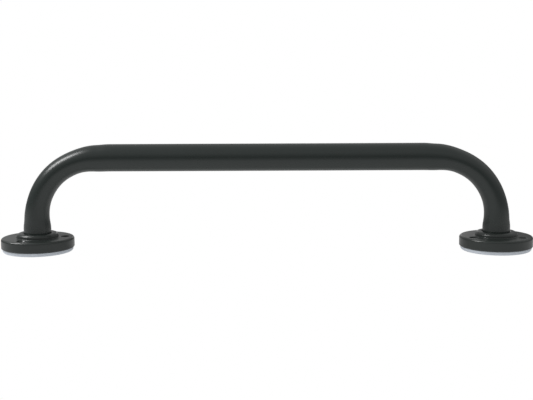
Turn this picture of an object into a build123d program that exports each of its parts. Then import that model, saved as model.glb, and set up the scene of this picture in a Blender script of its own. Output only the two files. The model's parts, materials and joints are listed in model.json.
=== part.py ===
"""Grab bar: one bent tube on two round cast flanges, each with a soft pad at its back.

Millimetres. The wall is the plane Z = 0 and +Z points away from it. X runs along the bar, and the
origin is halfway between the flanges, on the wall.
"""

import os
from math import radians, tan

from build123d import *

os.makedirs("parts", exist_ok=True)

# Tube
centre_distance = 432.0  # between the axes of the two flanges
tube_diameter = 25.5  # a one-inch tube with its coat of paint
tube_wall = 1.5
bend_radius = 57.6  # on the centre line

# Flattening of the bends: the width that is left in the plane of the bend, as a share of the diameter
leg_lead = 8.6  # straight length below the bend on which the tube starts to narrow
grip_lead = 12.0  # straight length past the bend on which it is round again
width_at_bend_start = 0.92
width_in_bend = 0.84
width_at_bend_end = 0.95
flat_from = 0.25  # share of the bend after which the width stays the same
flat_to = 0.75
swell_share = 0.35  # of the lost width, what the tube gains across the plane of the bend

# Pad under each flange
pad_inset = 1.2  # inside the flange's rim
pad_thickness = 3.5
pad_opening_diameter = 20.0  # reaches the joining screw
pad_edge_radius = 2.4  # rounding of the edge at the wall

# Flange
flange_thickness = 10.0  # without the boss
rim_radius = 2.2  # rounding of the upper edge
lower_chamfer = 0.85
boss_wall = 4.9  # outside the mouth of the socket
boss_height = 4.3  # above the flange's face
boss_shoulder_radius = 2.0
boss_foot_radius = 1.6
mouth_width = 1.0  # groove between tube and boss
mouth_depth = 1.3
socket_clearance = 0.15  # round the tube
web_thickness = 4.2  # floor of the socket

# Underside of the casting
face_wall = 3.2
rim_wall = 3.0
hub_wall = 3.2
pillar_wall = 0.75  # round a countersink
rib_thickness = 2.4
core_corner_radius = 1.0

# Screw holes to the wall
hole_to_boss = 6.6  # from a hole's centre to the side of the boss
hole_to_rim = 8.6  # from a hole's centre to the rim of the flange
hole_count = 3
hole_diameter = 5.5
countersink_diameter = 9.0
countersink_angle = 90.0
left_first_hole = -112.8  # degrees from +X, counter-clockwise seen from the room
right_first_hole = -153.5

# Threaded plug in each end of the tube, and the screw that pulls the tube onto the flange
plug_length = 14.0
plug_clearance = 0.05  # in the tube
plug_to_bend = 0.3  # round tube past the plug, before it starts to narrow
plug_chamfer = 0.8
screw_diameter = 6.0
screw_length = 17.0  # with its countersunk head
screw_clearance = 0.3  # in the flange's web
thread_clearance = 0.05  # in the plug, the thread itself is left plain
head_diameter = 11.3
head_recess = 0.3  # below the flange's back
head_clearance = 0.1
socket_width = 4.0  # hexagon, across its flats
socket_depth = 2.0
tip_chamfer = 0.7

# Heights and radii that follow
tube_radius = tube_diameter / 2
bore_radius = tube_radius - tube_wall
socket_radius = tube_radius + socket_clearance
hub_radius = socket_radius + hub_wall
boss_radius = socket_radius + mouth_width + boss_wall
bolt_circle_radius = boss_radius + hole_to_boss
flange_radius = bolt_circle_radius + hole_to_rim
pad_radius = flange_radius - pad_inset
pillar_radius = countersink_diameter / 2 + pillar_wall
face_height = pad_thickness + flange_thickness
boss_top = face_height + boss_height
socket_floor = pad_thickness + web_thickness
narrowing_height = socket_floor + plug_length + plug_to_bend
bend_start_height = narrowing_height + leg_lead
axis_height = bend_start_height + bend_radius
grip_half = centre_distance / 2 - bend_radius - grip_lead
half_head_angle = radians(countersink_angle / 2)

feet = (("left", -1, left_first_hole), ("right", 1, right_first_hole))
outwards = (Align.MIN, Align.CENTER)


def foot_centre(side, height=0.0):
    """Point on a flange's axis."""
    return Vector(side * centre_distance / 2, 0, height)


def foot_plane(side, height):
    """Plane parallel to the wall, centred on a flange's axis."""
    return Plane(origin=foot_centre(side, height), x_dir=(1, 0, 0), z_dir=(0, 0, 1))


def section_plane(side):
    """Plane through a flange's axis: its x is the radius and its y the height above the wall."""
    return Plane(origin=foot_centre(side), x_dir=(1, 0, 0), z_dir=(0, -1, 0))


def foot_axis(side):
    """Axis of a flange."""
    return Axis(foot_centre(side), (0, 0, 1))


# Tube: round legs and grip, joined by flattened bends

with BuildLine(Plane.XZ) as bend_path:
    leg_end = Line(
        (-centre_distance / 2, narrowing_height), (-centre_distance / 2, bend_start_height)
    )
    bend = JernArc(leg_end @ 1, leg_end % 1, bend_radius, -90)
    grip_end = Line(bend @ 1, bend @ 1 + (bend % 1) * grip_lead)

# each station is an edge of the path, a place along it and the width left there
stations = (
    (leg_end, 0.0, 1.0),
    (leg_end, 1.0, width_at_bend_start),
    (bend, flat_from, width_in_bend),
    (bend, (flat_from + flat_to) / 2, width_in_bend),
    (bend, flat_to, width_in_bend),
    (bend, 1.0, width_at_bend_end),
    (grip_end, 1.0, 1.0),
)


def bend_sections(radius_lost):
    """Ellipses across the bend's path, smaller by the given radius."""
    sections = []
    for edge, place, width in stations:
        across = Plane(origin=edge @ place, x_dir=(0, 1, 0), z_dir=edge % place)
        swell = 1 + (1 - width) * swell_share
        with BuildSketch(across) as section:
            Ellipse(tube_radius * swell - radius_lost, tube_radius * width - radius_lost)
        sections.append(section.sketch)
    return sections


with BuildPart() as grip_tube:
    sweep(bend_sections(0), path=bend_path.line, multisection=True)
    sweep(bend_sections(tube_wall), path=bend_path.line, multisection=True, mode=Mode.SUBTRACT)
    with BuildSketch(foot_plane(-1, socket_floor)):
        Circle(tube_radius)
        Circle(bore_radius, mode=Mode.SUBTRACT)
    extrude(amount=narrowing_height - socket_floor)
    mirror(about=Plane.YZ)
    with BuildSketch(Plane.YZ):
        with Locations((0, axis_height)):
            Circle(tube_radius)
            Circle(bore_radius, mode=Mode.SUBTRACT)
    extrude(amount=grip_half, both=True)
grip_tube.part.label = "grip_tube"
export_step(grip_tube.part, "parts/grip_tube.step")


for name, side, first_hole in feet:
    # Flange: a turned outline, cored from the back between rim, hub, ribs and screw pillars
    with BuildPart() as flange:
        with BuildSketch(section_plane(side)):
            with BuildLine():
                FilletPolyline(
                    (0, pad_thickness),
                    (flange_radius - lower_chamfer, pad_thickness),
                    (flange_radius, pad_thickness + lower_chamfer),
                    (flange_radius, face_height),
                    (boss_radius, face_height),
                    (boss_radius, boss_top),
                    (socket_radius + mouth_width, boss_top),
                    (socket_radius, boss_top - mouth_depth),
                    (socket_radius, socket_floor),
                    (0, socket_floor),
                    radius=[0, 0, 0, rim_radius, boss_foot_radius, boss_shoulder_radius, 0, 0, 0, 0],
                    close=True,
                )
            make_face()
        revolve(axis=foot_axis(side))
        with BuildSketch(foot_plane(side, pad_thickness)) as core:
            Circle(flange_radius - rim_wall)
            Circle(hub_radius, mode=Mode.SUBTRACT)
            with PolarLocations(bolt_circle_radius, hole_count, first_hole):
                Circle(pillar_radius, mode=Mode.SUBTRACT)
                Rectangle(flange_radius, 2 * pillar_radius, align=outwards, mode=Mode.SUBTRACT)
            with PolarLocations(0, 2 * hole_count, first_hole):
                Rectangle(flange_radius, rib_thickness, align=outwards, mode=Mode.SUBTRACT)
            corners_by_radius = core.vertices().group_by(SortBy.DISTANCE)
            fillet(corners_by_radius[0] + corners_by_radius[-1], core_corner_radius)
        extrude(amount=flange_thickness - face_wall, mode=Mode.SUBTRACT)
        with Locations(foot_plane(side, face_height)):
            with PolarLocations(bolt_circle_radius, hole_count, first_hole):
                CounterSinkHole(
                    hole_diameter / 2, countersink_diameter / 2, flange_thickness, countersink_angle
                )
        with Locations(-foot_plane(side, pad_thickness)):
            CounterSinkHole(
                screw_diameter / 2 + screw_clearance,
                head_diameter / 2 + head_clearance + head_recess * tan(half_head_angle),
                web_thickness,
                countersink_angle,
            )
    flange.part.label = f"{name}_flange"
    export_step(flange.part, f"parts/{name}_flange.step")

    # Pad: a soft disc with the same three holes
    with BuildPart() as pad:
        with BuildSketch(foot_plane(side, 0)):
            Circle(pad_radius)
            Circle(pad_opening_diameter / 2, mode=Mode.SUBTRACT)
            with PolarLocations(bolt_circle_radius, hole_count, first_hole):
                Circle(hole_diameter / 2, mode=Mode.SUBTRACT)
        extrude(amount=pad_thickness)
        rim_edges = pad.edges().filter_by(GeomType.CIRCLE).group_by(SortBy.RADIUS)[-1]
        fillet(rim_edges.sort_by(Axis.Z)[0], pad_edge_radius)
    pad.part.label = f"{name}_pad"
    export_step(pad.part, f"parts/{name}_pad.step")

    # Plug: flush with the tube's end, on the floor of the flange's socket
    with BuildPart() as plug:
        with BuildSketch(foot_plane(side, socket_floor)):
            Circle(bore_radius - plug_clearance)
            Circle(screw_diameter / 2 + thread_clearance, mode=Mode.SUBTRACT)
        extrude(amount=plug_length)
        top_edges = plug.edges().group_by(Axis.Z)[-1]
        chamfer(top_edges.sort_by(SortBy.RADIUS)[-1], plug_chamfer)
    plug.part.label = f"{name}_plug"
    export_step(plug.part, f"parts/{name}_plug.step")

    # Screw: countersunk head in the web's back, shank up into the plug
    head_bottom = pad_thickness + head_recess
    head_height = (head_diameter - screw_diameter) / 2 / tan(half_head_angle)
    with BuildPart() as screw:
        with BuildSketch(section_plane(side)):
            with BuildLine():
                Polyline(
                    (0, head_bottom),
                    (head_diameter / 2, head_bottom),
                    (screw_diameter / 2, head_bottom + head_height),
                    (screw_diameter / 2, head_bottom + screw_length - tip_chamfer),
                    (screw_diameter / 2 - tip_chamfer, head_bottom + screw_length),
                    (0, head_bottom + screw_length),
                    close=True,
                )
            make_face()
        revolve(axis=foot_axis(side))
        with BuildSketch(foot_plane(side, head_bottom)):
            RegularPolygon(socket_width / 2, 6, major_radius=False)
        extrude(amount=socket_depth, mode=Mode.SUBTRACT)
    screw.part.label = f"{name}_screw"
    export_step(screw.part, f"parts/{name}_screw.step")
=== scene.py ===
# %% [markdown]
# # A grab bar in satin black
# One steel tube with two flattened bends stands on two round cast flanges, and a soft pad lies
# under each flange. Tube and castings were powder coated black, so the whole look is one dark,
# slightly green paint and the light that it mirrors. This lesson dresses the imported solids: it
# reads their sizes, builds finer meshes in the same places, and gives each a node material.

# %% Load the solids
import json
from math import atan2, ceil, cos, pi, radians, sin, sqrt, tan

import bmesh
import bpy
from mathutils import Matrix, Vector


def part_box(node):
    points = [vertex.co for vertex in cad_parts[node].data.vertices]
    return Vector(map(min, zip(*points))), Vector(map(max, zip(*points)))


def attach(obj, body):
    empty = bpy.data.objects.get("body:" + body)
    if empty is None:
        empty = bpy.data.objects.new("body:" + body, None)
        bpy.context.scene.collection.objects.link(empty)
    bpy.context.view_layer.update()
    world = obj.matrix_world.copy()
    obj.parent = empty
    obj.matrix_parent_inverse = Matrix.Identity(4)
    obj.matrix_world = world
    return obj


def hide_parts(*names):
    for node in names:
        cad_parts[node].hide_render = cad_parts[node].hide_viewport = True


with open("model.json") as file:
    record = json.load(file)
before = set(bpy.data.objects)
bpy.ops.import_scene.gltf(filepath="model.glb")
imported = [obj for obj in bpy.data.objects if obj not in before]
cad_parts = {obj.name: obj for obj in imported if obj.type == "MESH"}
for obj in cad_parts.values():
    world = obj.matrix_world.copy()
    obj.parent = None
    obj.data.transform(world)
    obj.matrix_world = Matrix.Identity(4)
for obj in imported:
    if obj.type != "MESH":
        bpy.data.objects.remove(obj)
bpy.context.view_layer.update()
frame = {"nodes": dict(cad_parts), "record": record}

mm = 0.001  # the scene is in metres
print("solids:", ", ".join(sorted(frame["nodes"])))

# %% [markdown]
# ## The camera
# The photograph was taken from in front of the bar, a little above it, with a medium long lens.
# The place and the angles below put the edges of tube, flanges and pads where the picture has
# them. A camera looks along its own -Z axis, so its matrix is built from the three directions
# right, up and back.

# %% Camera
photo_width = 533  # pixels
focal_length = 991.2  # in the same pixels
sensor_width = 36.0  # mm, the width that Blender takes for a full-frame camera
camera_place = Vector((11.2, -920.7, 177.1)) * mm
camera_yaw = radians(-0.673)
camera_pitch = radians(-7.993)
camera_roll = radians(-0.321)


def camera_matrix(place, yaw, pitch, roll):
    """Matrix of a camera at place: yaw turns it to the right, pitch lifts it, roll tips it."""
    forward = Vector((sin(yaw) * cos(pitch), cos(yaw) * cos(pitch), sin(pitch)))
    level_right = Vector((cos(yaw), -sin(yaw), 0))
    level_up = level_right.cross(forward)
    right = level_right * cos(roll) + level_up * sin(roll)
    up = level_up * cos(roll) - level_right * sin(roll)
    return Matrix.Translation(place) @ Matrix((right, up, -forward)).transposed().to_4x4()


camera_data = bpy.data.cameras.new("camera")
camera_data.sensor_width = sensor_width
camera_data.lens = focal_length / photo_width * sensor_width
camera = bpy.data.objects.new("camera", camera_data)
camera.matrix_world = camera_matrix(camera_place, camera_yaw, camera_pitch, camera_roll)
bpy.context.scene.collection.objects.link(camera)
bpy.context.scene.camera = camera
print("lens in mm:", round(camera_data.lens, 1))

# %% [markdown]
# ## Node helpers
# Every look in this lesson is a graph of nodes. One helper makes a node, puts it at its place in
# the graph and fills in its values by name. A second one lets the camera see something else than
# the paint does: a product picture has a plain white ground, and yet the paint has to mirror a
# room with light and shade in it.

# %% Node helpers
node_spacing = 200  # between neighbouring places in the node editor


def node(tree, kind, place, **values):
    """A new node at a place in the graph, with properties and input values by name."""
    made = tree.nodes.new(kind)
    made.location = (place[0] * node_spacing, place[1] * node_spacing)
    for name, value in values.items():
        if hasattr(made, name):
            setattr(made, name, value)
        else:
            made.inputs[name.replace("_", " ")].default_value = value
    return made


def split_by_ray(tree, column, for_others, for_camera):
    """Shader output that gives camera rays one shader and all other rays another."""
    ray = node(tree, "ShaderNodeLightPath", (column - 1, 2))
    chosen = node(tree, "ShaderNodeMixShader", (column, 0))
    tree.links.new(ray.outputs["Is Camera Ray"], chosen.inputs["Fac"])
    tree.links.new(for_others.outputs[0], chosen.inputs[1])
    tree.links.new(for_camera.outputs[0], chosen.inputs[2])
    return chosen.outputs[0]


# %% [markdown]
# ## The studio
# Black paint shows little colour of its own: its shape is read from what it mirrors. The bar
# stands in a plain studio, so the surroundings glow softly from above, from both ends and from
# the front. The flat faces of the flanges mirror only what stands low behind the bar, and two
# narrow glows there give them their shade. Large lamps could do the same, but a world that is a
# sum of smooth spots has no edges that the paint would mirror.

# %% World
glows = (  # direction, its product with a ray where the glow starts and where it is full, strength
    ((0, 0, 1), 0.0, 0.1, 0.18),
    ((0, 0, 1), 0.1, 0.7, 0.45),
    ((-1, 0, 0), 0.4, 0.95, 0.12),
    ((1, 0, 0), 0.4, 0.95, 0.22),
    ((0, -1, 0), 0.2, 0.95, 0.09),
    ((-0.40, 0.90, 0.17), 0.955, 0.9945, 0.38),
    ((0.05, 0.98, 0.17), 0.978, 0.996, 1.2),
)


def sum_of_glows(tree):
    """Output with the strength of all glows together in the direction of a ray."""
    ray = node(tree, "ShaderNodeTexCoord", (0, 0))
    total = None
    for row, (direction, start, full, strength) in enumerate(glows):
        nearness = node(tree, "ShaderNodeVectorMath", (1, row), operation="DOT_PRODUCT")
        nearness.inputs[1].default_value = direction
        spot = node(
            tree, "ShaderNodeMapRange", (2, row), interpolation_type="SMOOTHSTEP",
            From_Min=start, From_Max=full, To_Max=strength,
        )
        tree.links.new(ray.outputs["Generated"], nearness.inputs[0])
        tree.links.new(nearness.outputs["Value"], spot.inputs["Value"])
        if total is None:
            total = spot.outputs["Result"]
            continue
        added = node(tree, "ShaderNodeMath", (3, row), operation="ADD")
        tree.links.new(total, added.inputs[0])
        tree.links.new(spot.outputs["Result"], added.inputs[1])
        total = added.outputs[0]
    return total


def studio_world():
    """World that is white to the camera and a sum of soft glows to everything else."""
    world = bpy.data.worlds.new("studio")
    world.use_nodes = True
    tree = world.node_tree
    tree.nodes.clear()
    room = node(tree, "ShaderNodeBackground", (4, 0))
    white = node(tree, "ShaderNodeBackground", (4, -1), Color=(1, 1, 1, 1), Strength=1.0)
    result = node(tree, "ShaderNodeOutputWorld", (6, 0))
    tree.links.new(sum_of_glows(tree), room.inputs["Strength"])
    tree.links.new(split_by_ray(tree, 5, room, white), result.inputs["Surface"])
    return world


bpy.context.scene.world = studio_world()
bpy.context.scene.view_settings.view_transform = "Standard"
print("glows in the world:", len(glows))

# %% [markdown]
# ## The lamp
# One soft lamp stands three metres off, high on the left and in the plane of the bar. It draws
# the bright line along the left bend and the glints on both flanges. It is longer than it is
# broad, so the line follows the bend for a while before it fades. It is an area light that the
# camera can't see, and it faces the bar when its own -Z axis points back to it.

# %% Soft lamp
lamp_low_end = Vector((-2.57, -0.07, 1.75))
lamp_high_end = Vector((-1.56, -0.04, 2.70))
lamp_breadth = 1.0
lamp_radiance = 10.0
power_share = 4  # the radiance is the power, divided by this and by the light's area


def soft_lamp(low_end, high_end, breadth, radiance):
    """Rectangular light between two ends, turned about its length so that it faces the bar."""
    length = (high_end - low_end).length
    data = bpy.data.lights.new("soft_lamp", "AREA")
    data.shape = "RECTANGLE"
    data.size = length
    data.size_y = breadth
    data.energy = radiance * power_share * length * breadth
    along = (high_end - low_end).normalized()
    middle = (low_end + high_end) / 2
    facing = -(middle - middle.project(along)).normalized()
    turn = Matrix((along, along.cross(facing), -facing)).transposed().to_4x4()
    lamp = bpy.data.objects.new("soft_lamp", data)
    lamp.matrix_world = Matrix.Translation(middle) @ turn
    lamp.visible_camera = False
    bpy.context.scene.collection.objects.link(lamp)
    print("lamp faces", tuple(round(x, 2) for x in facing), "and is", round(length, 2), "m long")


soft_lamp(lamp_low_end, lamp_high_end, lamp_breadth, lamp_radiance)

# %% [markdown]
# ## Mesh helpers
# Tube, flange and pad are all rings: a tube is a ring swept along a path, a turned piece is an
# outline swept round an axis. One function therefore joins neighbouring rings with quads. Each
# ring is closed, and the last ring joins the first, so the skin has an inside and an outside wall
# and no open edge.

# %% Mesh from rings
crease_angle = radians(35)  # edges sharper than this stay sharp


def outward(mesh):
    """Turns all faces of a closed mesh outwards."""
    work = bmesh.new()
    work.from_mesh(mesh)
    bmesh.ops.recalc_face_normals(work, faces=work.faces)
    work.to_mesh(mesh)
    work.free()


def skin_of_rings(name, rings):
    """Mesh over closed rings of points, where the last ring joins the first."""
    count, around = len(rings), len(rings[0])
    points = [point for ring in rings for point in ring]
    faces = []
    for i in range(count):
        here, there = i * around, (i + 1) % count * around
        for j in range(around):
            k = (j + 1) % around
            faces.append((here + j, here + k, there + k, there + j))
    mesh = bpy.data.meshes.new(name)
    mesh.from_pydata(points, [], faces)
    mesh.validate()
    outward(mesh)
    print(name, len(mesh.vertices), "points,", len(mesh.polygons), "faces")
    return mesh


def smooth_piece(name, mesh):
    """Object from a mesh, smooth except at its sharp edges."""
    for face in mesh.polygons:
        face.use_smooth = True
    mesh.set_sharp_from_angle(angle=crease_angle)
    piece = bpy.data.objects.new(name, mesh)
    bpy.context.scene.collection.objects.link(piece)
    return piece


# %% Outline with rounded corners
corner_step = radians(11)  # a rounded corner turns by no more than this from point to point
shortest_side = 0.001 * mm  # two arcs that meet end in one point, not in two


def rounded_outline(corners):
    """Closed outline through corners (x, y, radius), where a radius above 0 is drawn as an arc."""
    outline = []
    count = len(corners)
    for i, (x, y, radius) in enumerate(corners):
        here = Vector((x, y))
        if radius == 0:
            outline.append(here)
            continue
        back = (Vector(corners[i - 1][:2]) - here).normalized()
        ahead = (Vector(corners[(i + 1) % count][:2]) - here).normalized()
        half = back.angle(ahead) / 2
        centre = here + (back + ahead).normalized() * radius / sin(half)
        start = here + back * radius / tan(half) - centre
        end = here + ahead * radius / tan(half) - centre
        first = atan2(start.y, start.x)
        turn = (atan2(end.y, end.x) - first + pi) % (2 * pi) - pi
        steps = ceil(abs(turn) / corner_step)
        for k in range(steps + 1):
            angle = first + turn * k / steps
            outline.append(centre + radius * Vector((cos(angle), sin(angle))))
    return [p for i, p in enumerate(outline) if (p - outline[i - 1]).length > shortest_side]


# %% Turned mesh
turning_steps = 160


def turned(name, corners, axis_x):
    """Mesh turned about the upright axis at axis_x, from corners in radius and height."""
    outline = rounded_outline(corners)
    rings = []
    for i in range(turning_steps):
        angle = 2 * pi * i / turning_steps
        rings.append([(axis_x + r * cos(angle), r * sin(angle), z) for r, z in outline])
    return skin_of_rings(name, rings)


# %% [markdown]
# ## The tube
# The bar is a one-inch steel tube, bent cold round a former. The former squeezes it, so in the
# plane of the bend it is a sixth narrower than on the straight grip, and across that plane it
# swells a little. Where the bend runs out into the grip, the outer side stays flat for longer, so
# the oval's centre lies a little towards the inside there. A curve object with a round bevel
# can't be oval in one place and round in another, so the rings are set one by one along legs, arcs
# and grip, each with its own two widths.

# %% Tube sizes
mounts = {mount["name"]: mount for mount in frame["record"]["mounts"]}
foot_x = mounts["right_screws"]["pos_m"][0]  # from the middle of the bar to a flange's axis
tube_low, tube_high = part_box("grip_tube")
tube_radius = tube_high.x - foot_x
tube_wall = 1.5 * mm
axis_height = tube_high.z - tube_radius
bend_radius = 57.6 * mm
leg_lead = 8.6 * mm  # narrows over this length before the bend
grip_lead = 12.0 * mm  # and is round again this far after it
swell_share = 0.35  # of the lost width, what the tube gains across the plane of the bend
bend_length = bend_radius * pi / 2
round_place = bend_length + grip_lead  # from here on the section stays the same
bend_start = axis_height - bend_radius
bend_end_x = -foot_x + bend_radius
print("tube radius in mm:", round(tube_radius / mm, 2), "axis at", round(axis_height / mm, 2))

# %% Shape along the bend
bend_stations = (  # place, width left in the bend's plane, shift towards the inside of the bend
    (-leg_lead, 1.0, 0.0),
    (0.0, 0.92, 0.0),
    (0.25 * bend_length, 0.845, 0.0),
    (0.50 * bend_length, 0.84, 0.0),
    (0.75 * bend_length, 0.86, 0.4 * mm),
    (bend_length, 0.975, 0.45 * mm),
    (round_place, 1.0, 0.0),
)
bend_places, bend_widths, bend_shifts = zip(*bend_stations)


def slope_at(values, i):
    """Slope at a station of a curve that never overshoots its stations."""
    if i in (0, len(values) - 1):
        return 0.0
    before = (values[i] - values[i - 1]) / (bend_places[i] - bend_places[i - 1])
    after = (values[i + 1] - values[i]) / (bend_places[i + 1] - bend_places[i])
    return 2 * before * after / (before + after) if before * after > 0 else 0.0


def along_bend(values, place):
    """Value at a place along the bend, on a smooth curve through the stations' values."""
    place = min(max(place, bend_places[0]), bend_places[-1])
    i = max(k for k, x in enumerate(bend_places[:-1]) if x <= place)
    span = bend_places[i + 1] - bend_places[i]
    share = (place - bend_places[i]) / span
    rest = 1 - share
    leaving = slope_at(values, i) * span
    arriving = slope_at(values, i + 1) * span
    return (
        values[i] * (1 + 2 * share) * rest**2
        + leaving * share * rest**2
        + values[i + 1] * (1 + 2 * rest) * share**2
        - arriving * rest * share**2
    )


print("narrowest width in mm:", round(2 * tube_radius * min(bend_widths) / mm, 2))

# %% Path of the tube
lead_step = 2.2 * mm  # between rings on the legs and on the leads
bend_step = 1.5 * mm  # round the bends
grip_step = 10 * mm  # on the grip
upwards = Vector((0, 0, 1))
rightwards = Vector((1, 0, 0))


def steps_between(first, last, step):
    """Evenly spaced values from first up to, and without, last."""
    count = max(1, ceil(abs(last - first) / step))
    return [first + (last - first) * k / count for k in range(count)]


def left_half_path():
    """Steps from the left foot up to the middle of the grip: (place along, point, direction)."""
    path = []
    for z in steps_between(tube_low.z, bend_start, lead_step):
        path.append((z - bend_start, Vector((-foot_x, 0, z)), upwards))
    centre = Vector((bend_end_x, 0, bend_start))
    for place in steps_between(0.0, bend_length, bend_step):
        angle = place / bend_radius
        point = centre + bend_radius * Vector((-cos(angle), 0, sin(angle)))
        path.append((place, point, Vector((sin(angle), 0, cos(angle)))))
    for x in steps_between(bend_end_x, bend_end_x + grip_lead, lead_step):
        path.append((bend_length + x - bend_end_x, Vector((x, 0, axis_height)), rightwards))
    for x in steps_between(bend_end_x + grip_lead, 0.0, grip_step):
        path.append((round_place, Vector((x, 0, axis_height)), rightwards))
    return path


left_half = left_half_path()
middle_step = (round_place, Vector((0, 0, axis_height)), rightwards)
right_half = [
    (place, Vector((-point.x, 0, point.z)), Vector((direction.x, 0, -direction.z)))
    for place, point, direction in reversed(left_half)
]
tube_path = left_half + [middle_step] + right_half
print("rings along the tube:", len(tube_path))

# %% Tube
ring_points = 96


def tube_ring(place, point, direction, wall):
    """Oval ring across the tube, smaller by the wall."""
    width = along_bend(bend_widths, place)
    inwards = Vector((direction.z, 0, -direction.x))
    across = Vector((0, 1, 0))
    centre = point + inwards * along_bend(bend_shifts, place)
    half_width = tube_radius * width - wall
    half_breadth = tube_radius * (1 + (1 - width) * swell_share) - wall
    ring = []
    for j in range(ring_points):
        angle = 2 * pi * j / ring_points
        ring.append(centre + inwards * half_width * cos(angle) + across * half_breadth * sin(angle))
    return ring


outer_rings = [tube_ring(*step, 0.0) for step in tube_path]
inner_rings = [tube_ring(*step, tube_wall) for step in reversed(tube_path)]
tube = smooth_piece("painted_tube", skin_of_rings("painted_tube", outer_rings + inner_rings))

# %% [markdown]
# ## The flanges
# Each flange is a zinc casting: a disc with a rounded rim, a low boss with a bore for the tube,
# three countersunk screw holes, and a back that is cored out between ribs so that the walls stay
# even. In the photograph the boss is rounder and a little wider than the solid's, and the groove
# round the tube is shallower, so both are drawn that way here. The outline is swept round the
# axis, as on a lathe, and Boolean modifiers take out holes and pockets. They only cut flat faces,
# so the round surfaces keep their clean rows of quads.

# %% Flange outline
flange_low, flange_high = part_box("right_flange")
flange_radius = flange_high.x - foot_x
back_height = flange_low.z
boss_top = flange_high.z
boss_height = 4.3 * mm
face_height = boss_top - boss_height
socket_floor = tube_low.z
socket_clearance = 0.15 * mm  # round the tube
socket_radius = tube_radius + socket_clearance
mouth_width = 1.0 * mm  # of the groove round the tube
mouth_depth = 0.4 * mm
boss_wall = 4.9 * mm
boss_radius = socket_radius + mouth_width + boss_wall  # as on the solid
shoulder_reach = 0.9 * mm  # how far the rounder boss stands out past it
shoulder_rounding = 3.6 * mm
boss_foot_rounding = 0.7 * mm
rim_rounding = 2.2 * mm
lower_chamfer = 0.85 * mm
edge_rounding = 0.4 * mm  # what paint and casting leave of a sharp edge
joining_hole_radius = 3.3 * mm  # for the screw that holds the tube
joining_sink_radius = 6.05 * mm  # its countersink in the flange's back
joining_sink_depth = joining_sink_radius - joining_hole_radius

flange_corners = (
    (joining_sink_radius, back_height, 0),
    (flange_radius - lower_chamfer, back_height, edge_rounding),
    (flange_radius, back_height + lower_chamfer, edge_rounding),
    (flange_radius, face_height, rim_rounding),
    (boss_radius + shoulder_reach, face_height, boss_foot_rounding),
    (boss_radius + shoulder_reach, boss_top, shoulder_rounding),
    (socket_radius + mouth_width, boss_top, edge_rounding),
    (socket_radius, boss_top - mouth_depth, edge_rounding),
    (socket_radius, socket_floor, 0),
    (joining_hole_radius, socket_floor, 0),
    (joining_hole_radius, back_height + joining_sink_depth, 0),
)
print("flange radius in mm:", round(flange_radius / mm, 2), "face at", round(face_height / mm, 2))

# %% Screw hole cutter
hole_radius = mounts["right_screws"]["dims"]["hole_r_mm"] * mm
bolt_circle_radius = mounts["right_screws"]["dims"]["pcd_mm"] * mm / 2
hole_count = mounts["right_screws"]["dims"]["count"]
sink_radius = 4.5 * mm
sink_depth = sink_radius - hole_radius
lip_rounding = 0.5 * mm
overshoot = 2 * mm  # how far a cutter stands out of what it cuts
flange_hole_steps = 64


def round_cutter(name, outline, around):
    """Closed mesh of an open outline (radius, height) that is turned, with flat ends."""
    work = bmesh.new()
    rings = []
    for r, z in outline:
        ring = [
            work.verts.new((r * cos(2 * pi * j / around), r * sin(2 * pi * j / around), z))
            for j in range(around)
        ]
        rings.append(ring)
    for lower, upper in zip(rings, rings[1:]):
        for j in range(around):
            k = (j + 1) % around
            work.faces.new((lower[j], lower[k], upper[k], upper[j]))
    work.faces.new(rings[0][::-1])
    work.faces.new(rings[-1])
    bmesh.ops.recalc_face_normals(work, faces=work.faces)
    mesh = bpy.data.meshes.new(name)
    work.to_mesh(mesh)
    work.free()
    return mesh


countersink = rounded_outline(
    (
        (sink_radius + overshoot, face_height, 0),
        (sink_radius, face_height, lip_rounding),
        (hole_radius, face_height - sink_depth, edge_rounding),
        (hole_radius, -overshoot, 0),
    )
)
lip = countersink[1]  # where the rounded edge meets the face
above_lip = Vector((lip.x, face_height + overshoot))
hole_outline = [*reversed(countersink[1:]), above_lip]
screw_hole = round_cutter("screw_hole", hole_outline, flange_hole_steps)
print("screw holes:", hole_count, "each", round(2 * hole_radius / mm, 2), "mm wide")

# %% [markdown]
# ## The core pockets
# A thick casting shrinks unevenly as it cools, so its back is cored out until no wall is much
# thicker than three millimetres. Six pockets lie between rim, hub, ribs and the pillars round the
# screw holes. All six could be drawn at once, but they repeat: one is drawn between a pillar and
# the next rib, the second is its mirror image, and both are turned to each of the three holes.

# %% Outline of a core pocket
face_wall = 3.2 * mm
rim_wall = 3.0 * mm
hub_wall = 3.2 * mm
pillar_wall = 0.75 * mm  # round a countersink
rib_half = 1.2 * mm
hub_radius = socket_radius + hub_wall
pillar_radius = sink_radius + pillar_wall
core_radius = flange_radius - rim_wall
hub_steps = 8  # sides that stand for each arc of a pocket
pillar_steps = 10
rim_steps = 12


def arc_points(centre, radius, first, last, count):
    """Points on an arc from angle first to angle last."""
    angles = [first + (last - first) * k / count for k in range(count + 1)]
    return [centre + radius * Vector((cos(a), sin(a))) for a in angles]


def side_angle(half_breadth, radius):
    """Angle at a circle's centre from a bar's middle line to where its side meets the circle."""
    return atan2(half_breadth, sqrt(radius**2 - half_breadth**2))


def pocket_arcs():
    """Hub, pillar and rim side of the pocket between a pillar, on the x axis, and the next rib."""
    origin = Vector((0, 0))
    pillar = Vector((bolt_circle_radius, 0))
    rib_angle = pi / hole_count
    at_hub = side_angle(rib_half, hub_radius)
    at_rim = side_angle(rib_half, core_radius)
    at_pillar = side_angle(rib_half, pillar_radius)
    pillar_side = side_angle(pillar_radius, core_radius)
    return (
        arc_points(origin, hub_radius, rib_angle - at_hub, at_hub, hub_steps),
        arc_points(pillar, pillar_radius, pi - at_pillar, pi / 2, pillar_steps),
        arc_points(origin, core_radius, pillar_side, rib_angle - at_rim, rim_steps),
    )


# %% Core pocket cutters
core_rounding = 1.0 * mm
core_segments = 4
round_profile = 0.5  # the shape value of a bevel that is a true arc


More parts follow.
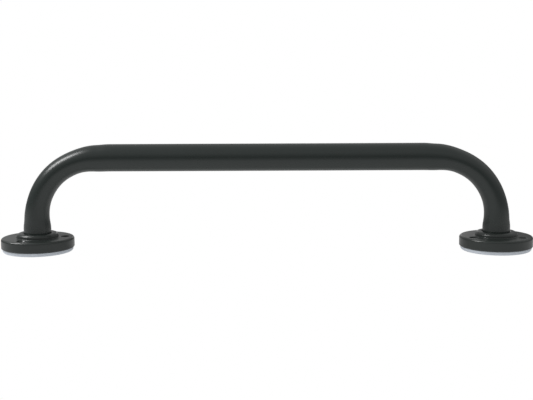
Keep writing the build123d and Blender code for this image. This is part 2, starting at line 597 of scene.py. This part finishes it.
def pocket_cutter(name, flipped):
    """Upright block on the pocket's outline, with rounded upright edges at hub and rim."""
    hub_arc, pillar_arc, rim_arc = pocket_arcs()
    outline = hub_arc + pillar_arc + rim_arc
    count = len(outline)
    corners = (0, len(hub_arc) - 1, count - len(rim_arc), count - 1)
    work = bmesh.new()
    low = [work.verts.new((p.x, p.y, back_height - overshoot)) for p in outline]
    high = [work.verts.new((p.x, p.y, face_height - face_wall)) for p in outline]
    for j in range(count):
        k = (j + 1) % count
        work.faces.new((low[j], low[k], high[k], high[j]))
    work.faces.new(low[::-1])
    work.faces.new(high)
    bmesh.ops.bevel(
        work, geom=[work.edges.get((low[j], high[j])) for j in corners],
        offset=core_rounding, segments=core_segments, profile=round_profile, affect="EDGES",
    )
    if flipped:
        bmesh.ops.scale(work, vec=(1, -1, 1), verts=work.verts)
    bmesh.ops.recalc_face_normals(work, faces=work.faces)
    mesh = bpy.data.meshes.new(name)
    work.to_mesh(mesh)
    work.free()
    return mesh


pockets = (pocket_cutter("pocket", False), pocket_cutter("pocket_flipped", True))
print("pockets in each flange:", hole_count * len(pockets))

# %% [markdown]
# ## Cutting
# Holes and pockets could be cut one by one, but every Boolean works through the whole mesh again,
# so all cutters of a piece are joined and it is cut once. The exact solver is slower than the
# fast one and leaves no gaps, and weighted normals keep the flat faces looking flat.

# %% Cutting


def joined(name, placed):
    """One mesh out of several (mesh, matrix) pairs."""
    work = bmesh.new()
    for mesh, matrix in placed:
        copy = mesh.copy()
        copy.transform(matrix)
        work.from_mesh(copy)
        bpy.data.meshes.remove(copy)
    made = bpy.data.meshes.new(name)
    work.to_mesh(made)
    work.free()
    return made


def cut(mesh, cutter_mesh):
    """The mesh with the cutter's shape taken out of it."""
    blank = bpy.data.objects.new("blank", mesh)
    cutter = bpy.data.objects.new("cutter", cutter_mesh)
    for item in (blank, cutter):
        bpy.context.scene.collection.objects.link(item)
    boolean = blank.modifiers.new("cut", "BOOLEAN")
    boolean.operation = "DIFFERENCE"
    boolean.solver = "EXACT"
    boolean.object = cutter
    depsgraph = bpy.context.evaluated_depsgraph_get()
    made = bpy.data.meshes.new_from_object(blank.evaluated_get(depsgraph))
    bpy.data.objects.remove(blank)
    bpy.data.objects.remove(cutter)
    print("cut:", len(mesh.polygons), "faces became", len(made.polygons))
    return made


def machined_piece(name, corners, axis_x, cutters):
    """Turned piece with the cutters' shapes taken out of it, evenly shaded."""
    body = turned(name, corners, axis_x)
    piece = smooth_piece(name, cut(body, joined(f"{name}_cutters", cutters)))
    piece.modifiers.new("even_shading", "WEIGHTED_NORMAL").keep_sharp = True
    return piece


# %% Both flanges
left_first_hole = radians(-112.8)
right_first_hole = radians(-153.5)
feet = (("left", -foot_x, left_first_hole), ("right", foot_x, right_first_hole))


def hole_angles(first_hole):
    """Angles of a flange's screw holes."""
    return [first_hole + 2 * pi * k / hole_count for k in range(hole_count)]


def at_holes(cutter, axis_x, first_hole):
    """The cutter, with a matrix for each of a flange's screw holes."""
    placed = []
    for angle in hole_angles(first_hole):
        offset = Vector((cos(angle), sin(angle), 0)) * bolt_circle_radius
        placed.append((cutter, Matrix.Translation(Vector((axis_x, 0, 0)) + offset)))
    return placed


flanges = {}
for side, axis_x, first_hole in feet:
    cutters = at_holes(screw_hole, axis_x, first_hole)
    for angle in hole_angles(first_hole):
        turn = Matrix.Translation((axis_x, 0, 0)) @ Matrix.Rotation(angle, 4, "Z")
        cutters += [(pocket, turn) for pocket in pockets]
    flanges[side] = machined_piece(f"{side}_painted_flange", flange_corners, axis_x, cutters)

# %% [markdown]
# ## The pads
# A soft grey disc, a little smaller than the flange, keeps the metal off the tiles. It has the
# same three holes and an opening in the middle for the joining screw. It is moulded rubber, so
# its edge at the wall is well rounded. It could be a cylinder with a bevel, but turned from an
# outline and cut like the flange, it takes no new helper.

# %% Both pads
pad_low, pad_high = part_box("right_pad")
pad_radius = pad_high.x - foot_x
pad_opening = 10 * mm
pad_rounding = 2.4 * mm  # of the edge at the wall
pad_edge_rounding = 0.3 * mm  # of all other edges
pad_hole_steps = 48
pad_corners = (
    (pad_opening, pad_low.z, pad_edge_rounding),
    (pad_radius, pad_low.z, pad_rounding),
    (pad_radius, pad_high.z, pad_edge_rounding),
    (pad_opening, pad_high.z, pad_edge_rounding),
)
pad_hole_outline = ((hole_radius, -overshoot), (hole_radius, pad_high.z + overshoot))
pad_hole = round_cutter("pad_hole", pad_hole_outline, pad_hole_steps)

pads = {}
for side, axis_x, first_hole in feet:
    cutters = at_holes(pad_hole, axis_x, first_hole)
    pads[side] = machined_piece(f"{side}_soft_pad", pad_corners, axis_x, cutters)

# %% [markdown]
# ## The fine skin
# No surface here is quite even. Powder coat is melted on in an oven and flows into a fine orange
# peel, moulded rubber keeps the grain of its mould, and zinc plating is faintly cloudy. Each of
# them is a fine relief, a gloss that wanders a little and a shade that wanders with it, so one
# group makes the three for every material, and the materials differ in the values they give it.

# %% Shared group: fine skin
cloud_low = 0.3  # nearly all of a noise lies between these two values
cloud_high = 0.7


def group_socket(group, name, way, kind, value=None):
    """A named socket of a node group."""
    made = group.interface.new_socket(name, in_out=way, socket_type=kind)
    if value is not None:
        made.default_value = value


def fine_skin_group():
    """Group that makes the fine relief of a surface, its wandering gloss and its shade."""
    group = bpy.data.node_groups.new("fine_skin", "ShaderNodeTree")
    group_socket(group, "Deep Shade", "INPUT", "NodeSocketColor", (0.02, 0.02, 0.02, 1))
    group_socket(group, "Pale Shade", "INPUT", "NodeSocketColor", (0.03, 0.03, 0.03, 1))
    group_socket(group, "Grains Per Metre", "INPUT", "NodeSocketFloat", 700.0)
    group_socket(group, "Grain Height", "INPUT", "NodeSocketFloat", 0.01 * mm)
    group_socket(group, "Clouds Per Metre", "INPUT", "NodeSocketFloat", 22.0)
    group_socket(group, "Smooth Roughness", "INPUT", "NodeSocketFloat", 0.3)
    group_socket(group, "Dull Roughness", "INPUT", "NodeSocketFloat", 0.4)
    group_socket(group, "Color", "OUTPUT", "NodeSocketColor")
    group_socket(group, "Roughness", "OUTPUT", "NodeSocketFloat")
    group_socket(group, "Normal", "OUTPUT", "NodeSocketVector")
    given = node(group, "NodeGroupInput", (0, 0))
    result = node(group, "NodeGroupOutput", (5, 0))
    place = node(group, "ShaderNodeTexCoord", (0, -2))
    grain = node(group, "ShaderNodeTexNoise", (2, -1), Detail=2.0, Roughness=0.5)
    cloud = node(group, "ShaderNodeTexNoise", (2, 1), Detail=3.0, Roughness=0.55)
    gloss = node(group, "ShaderNodeMapRange", (3, 1), From_Min=cloud_low, From_Max=cloud_high)
    shade = node(group, "ShaderNodeMix", (4, 2), data_type="RGBA")
    bump = node(group, "ShaderNodeBump", (4, -1), Strength=1.0)
    link = group.links.new
    link(place.outputs["Object"], grain.inputs["Vector"])
    link(place.outputs["Object"], cloud.inputs["Vector"])
    link(given.outputs["Grains Per Metre"], grain.inputs["Scale"])
    link(given.outputs["Clouds Per Metre"], cloud.inputs["Scale"])
    link(cloud.outputs["Fac"], gloss.inputs["Value"])
    link(given.outputs["Smooth Roughness"], gloss.inputs["To Min"])
    link(given.outputs["Dull Roughness"], gloss.inputs["To Max"])
    link(cloud.outputs["Fac"], shade.inputs["Factor"])
    link(given.outputs["Deep Shade"], shade.inputs["A"])
    link(given.outputs["Pale Shade"], shade.inputs["B"])
    link(grain.outputs["Fac"], bump.inputs["Height"])
    link(given.outputs["Grain Height"], bump.inputs["Distance"])
    link(shade.outputs["Result"], result.inputs["Color"])
    link(gloss.outputs["Result"], result.inputs["Roughness"])
    link(bump.outputs["Normal"], result.inputs["Normal"])
    return group


fine_skin = fine_skin_group()
print("sockets of the fine skin:", len(fine_skin.interface.items_tree))

# %% [markdown]
# ## The materials
# The paint is almost black with a breath of green. The castings are a little rougher under their
# coat than the drawn tube, so their gloss is duller and their peel coarser. The rubber is a cool
# light grey and matt. The hidden plugs and screws are zinc-plated steel, the one bare metal here.
# A picture of paint could be laid on instead, but values such as these hold from any distance.

# %% Materials


def skin_material(
    name, metallic, deep_shade, pale_shade, roughness, grains_per_metre, grain_height, clouds_per_metre
):
    """Material that takes its shade, gloss and relief from the fine skin."""
    made = bpy.data.materials.new(name)
    made.use_nodes = True
    tree = made.node_tree
    shader = tree.nodes["Principled BSDF"]
    shader.inputs["Metallic"].default_value = metallic
    skin = node(
        tree, "ShaderNodeGroup", (-2, 1), node_tree=fine_skin,
        Deep_Shade=(*deep_shade, 1), Pale_Shade=(*pale_shade, 1),
        Grains_Per_Metre=grains_per_metre, Grain_Height=grain_height,
        Clouds_Per_Metre=clouds_per_metre,
        Smooth_Roughness=roughness[0], Dull_Roughness=roughness[1],
    )
    tree.links.new(skin.outputs["Color"], shader.inputs["Base Color"])
    tree.links.new(skin.outputs["Roughness"], shader.inputs["Roughness"])
    tree.links.new(skin.outputs["Normal"], shader.inputs["Normal"])
    print("material:", name)
    return made


tube_paint = skin_material(
    "satin_black_tube", metallic=0.0,
    deep_shade=(0.017, 0.024, 0.022), pale_shade=(0.020, 0.027, 0.025), roughness=(0.26, 0.30),
    grains_per_metre=700.0, grain_height=0.003 * mm, clouds_per_metre=22.0,
)
casting_paint = skin_material(
    "satin_black_casting", metallic=0.0,
    deep_shade=(0.018, 0.024, 0.022), pale_shade=(0.023, 0.028, 0.026), roughness=(0.27, 0.32),
    grains_per_metre=520.0, grain_height=0.004 * mm, clouds_per_metre=22.0,
)
pad_material = skin_material(
    "soft_grey_rubber", metallic=0.0,
    deep_shade=(0.67, 0.72, 0.79), pale_shade=(0.73, 0.78, 0.85), roughness=(0.52, 0.68),
    grains_per_metre=2400.0, grain_height=0.02 * mm, clouds_per_metre=60.0,
)
steel_material = skin_material(
    "zinc_plated_steel", metallic=1.0,
    deep_shade=(0.56, 0.56, 0.54), pale_shade=(0.66, 0.66, 0.64), roughness=(0.26, 0.40),
    grains_per_metre=1500.0, grain_height=0.004 * mm, clouds_per_metre=180.0,
)

# %% [markdown]
# ## The floor
# The photograph's ground is plain white without a shadow, so the floor is plain white to the
# camera. The paint mirrors it too, and there it is a grey sheet with a painted band of light in
# front of the bar: the floor glows there by itself, with no lamp, and this painted light gives the
# undersides of grip and bends their soft light. A second lamp could light that band, but it would
# also fall on the bar.

# %% Floor
floor_reach = 4.0  # half of its side
floor_drop = 0.2 * mm  # keeps the floor clear of the pads
floor_shade = 0.45  # share of the light that the floor sends back
# The band is painted light: the floor emits it by itself, with no lamp above it.
band_glow = 0.37  # and what it adds in the lit band
band_middle = -0.12  # in front of the bar
band_core = 0.05  # half breadth that is fully lit
band_edge = 0.32  # and where the band ends


def painted_glow_band(tree):
    """Output with the floor's painted glow, which is full in the band and fades to both sides."""
    place = node(tree, "ShaderNodeTexCoord", (-5, -1))
    parts = node(tree, "ShaderNodeSeparateXYZ", (-4, -1))
    shift = node(tree, "ShaderNodeMath", (-3, -1), operation="SUBTRACT")
    away = node(tree, "ShaderNodeMath", (-2, -1), operation="ABSOLUTE")
    band = node(
        tree, "ShaderNodeMapRange", (-1, -1), interpolation_type="SMOOTHSTEP",
        From_Min=band_core, From_Max=band_edge, To_Min=band_glow, To_Max=0.0,
    )
    shift.inputs[1].default_value = band_middle
    tree.links.new(place.outputs["Object"], parts.inputs[0])
    tree.links.new(parts.outputs["Y"], shift.inputs[0])
    tree.links.new(shift.outputs[0], away.inputs[0])
    tree.links.new(away.outputs[0], band.inputs["Value"])
    return band.outputs["Result"]


def floor_material():
    """Material that is white to the camera and a grey sheet with a painted glowing band to everything
    else.
    """
    made = bpy.data.materials.new("white_floor")
    made.use_nodes = True
    tree = made.node_tree
    tree.nodes.clear()
    sheet = node(tree, "ShaderNodeBsdfDiffuse", (0, 0), Color=(floor_shade,) * 3 + (1,))
    glow = node(tree, "ShaderNodeEmission", (0, -1))
    both = node(tree, "ShaderNodeAddShader", (1, -1))
    white = node(tree, "ShaderNodeEmission", (0, -2), Strength=1.0)
    result = node(tree, "ShaderNodeOutputMaterial", (3, 0))
    tree.links.new(painted_glow_band(tree), glow.inputs["Strength"])
    tree.links.new(sheet.outputs[0], both.inputs[0])
    tree.links.new(glow.outputs[0], both.inputs[1])
    tree.links.new(split_by_ray(tree, 2, both, white), result.inputs["Surface"])
    return made


floor_corners = [
    (x * floor_reach, y * floor_reach, -floor_drop) for x, y in ((-1, -1), (1, -1), (1, 1), (-1, 1))
]
floor_mesh = bpy.data.meshes.new("floor")
floor_mesh.from_pydata(floor_corners, [], [(0, 1, 2, 3)])
floor = bpy.data.objects.new("floor", floor_mesh)
bpy.context.scene.collection.objects.link(floor)
floor.data.materials.append(floor_material())
print("floor in m:", 2 * floor_reach, "by", 2 * floor_reach)

# %% [markdown]
# ## The pieces on the body
# Nothing on the bar moves, so every piece rides on the one body. Tube, flanges and pads take the
# place of their solids. Plugs and screws are hidden inside, where their solids are fine enough,
# so they are only given the look of plated steel.

# %% Put the pieces on the body
tube.data.materials.append(tube_paint)
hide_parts("grip_tube")
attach(tube, "root")
for side in flanges:
    flanges[side].data.materials.append(casting_paint)
    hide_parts(f"{side}_flange")
    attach(flanges[side], "root")
    pads[side].data.materials.append(pad_material)
    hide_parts(f"{side}_pad")
    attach(pads[side], "root")
    for part in ("plug", "screw"):
        solid = frame["nodes"][f"{side}_{part}"]
        solid.data.materials.clear()
        solid.data.materials.append(steel_material)
print("pieces made:", 1 + len(flanges) + len(pads))
